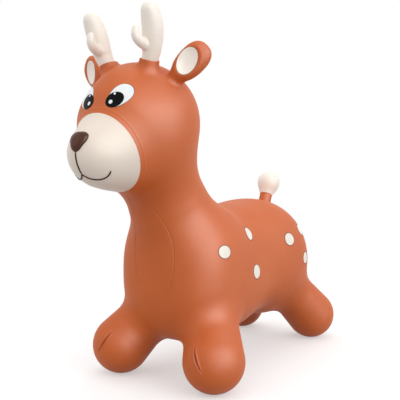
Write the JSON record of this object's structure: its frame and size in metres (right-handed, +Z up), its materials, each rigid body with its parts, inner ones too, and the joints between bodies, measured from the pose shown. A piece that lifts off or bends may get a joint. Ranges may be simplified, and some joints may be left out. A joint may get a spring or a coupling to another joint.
{
  "type": "inflatable bouncy ride-on animal",
  "caption": "Inflatable deer-shaped bouncy ride-on toy that a small child sits on and hops, with soft antlers, ears, a stub tail and an air valve in the belly.",
  "frame": {"origin": "on the floor, under the middle of the toy's outer box", "axes": "+Z up, -Y the way the animal faces, +X the animal's left"},
  "size_m": [0.2772, 0.6312, 0.5703],
  "materials": {
    "orange_vinyl": "satin moulded soft vinyl, terracotta orange",
    "cream_vinyl": "satin soft vinyl with sprayed cream paint",
    "white_paint": "thin flexible white paint",
    "black_paint": "thin glossy black paint",
    "brown_paint": "thin glossy brown paint",
    "valve_plastic": "milky flexible valve plastic"
  },
  "bodies": {
    "legs": {"front_leg_left": "orange_vinyl", "front_leg_right": "orange_vinyl", "rear_leg_left": "orange_vinyl", "rear_leg_right": "orange_vinyl"},
    "torso": {"torso": "orange_vinyl", "neck": "orange_vinyl", "valve_seat": "valve_plastic", "spot_1_left": "white_paint", "spot_2_left": "white_paint", "spot_3_left": "white_paint", "spot_4_left": "white_paint", "spot_5_left": "white_paint", "spot_6_left": "white_paint", "spot_1_right": "white_paint", "spot_2_right": "white_paint", "spot_3_right": "white_paint", "spot_4_right": "white_paint", "spot_5_right": "white_paint", "spot_6_right": "white_paint"},
    "head": {"head": "orange_vinyl", "muzzle": "cream_vinyl", "nose": "brown_paint", "smile_line": "brown_paint", "lip_line": "brown_paint", "antler_base_left": "orange_vinyl", "antler_base_right": "orange_vinyl", "eye_white_left": "white_paint", "eye_white_right": "white_paint", "pupil_left": "black_paint", "pupil_right": "black_paint", "glint_left": "white_paint", "glint_right": "white_paint", "small_glint_left": "white_paint", "small_glint_right": "white_paint"},
    "antler_left": {"antler_left": "cream_vinyl"},
    "antler_right": {"antler_right": "cream_vinyl"},
    "ear_left": {"ear_left": "orange_vinyl", "ear_lining_left": "cream_vinyl"},
    "ear_right": {"ear_right": "orange_vinyl", "ear_lining_right": "cream_vinyl"},
    "tail": {"tail_stub": "orange_vinyl", "tail_ball": "cream_vinyl"},
    "air_plug": {"air_plug": "valve_plastic"}
  },
  "joints": [
    {"name": "bounce", "type": "slide", "parent": "legs", "child": "torso", "axis": [0, 0, 1], "range_m": [-0.04, 0], "stiffness_N_per_m": 5000, "springref_m": 0.004, "deforming": ["front_leg_left", "front_leg_right", "rear_leg_left", "rear_leg_right"]},
    {"name": "nod", "type": "hinge", "parent": "torso", "child": "head", "pos_m": [0, -0.12145, 0.30785], "axis": [1, 0, 0], "range_deg": [-8, 8], "stiffness_Nm_per_rad": 20, "springref_deg": -0.83, "deforming": ["neck"]},
    {"name": "antler_left_bend", "type": "hinge", "parent": "head", "child": "antler_left", "pos_m": [0.03849, -0.20328, 0.49769], "axis": [1, 0, 0], "range_deg": [-15, 15], "stiffness_Nm_per_rad": 0.4},
    {"name": "antler_right_bend", "type": "hinge", "parent": "head", "child": "antler_right", "pos_m": [-0.03851, -0.20329, 0.49773], "axis": [1, 0, 0], "range_deg": [-15, 15], "stiffness_Nm_per_rad": 0.4},
    {"name": "ear_left_bend", "type": "hinge", "parent": "head", "child": "ear_left", "pos_m": [0.0658, -0.17675, 0.46793], "axis": [0.6947, 0, -0.7193], "range_deg": [-20, 20], "stiffness_Nm_per_rad": 0.12},
    {"name": "ear_right_bend", "type": "hinge", "parent": "head", "child": "ear_right", "pos_m": [-0.06588, -0.17675, 0.46799], "axis": [0.6947, 0, 0.7193], "range_deg": [-20, 20], "stiffness_Nm_per_rad": 0.12},
    {"name": "tail_wag", "type": "hinge", "parent": "torso", "child": "tail", "pos_m": [0, 0.21715, 0.26682], "axis": [1, 0, 0], "range_deg": [-18, 18], "stiffness_Nm_per_rad": 0.5},
    {"name": "plug_pull", "type": "slide", "parent": "torso", "child": "air_plug", "axis": [0, 0.1487, -0.9889], "range_m": [0, 0.02]}
  ]
}
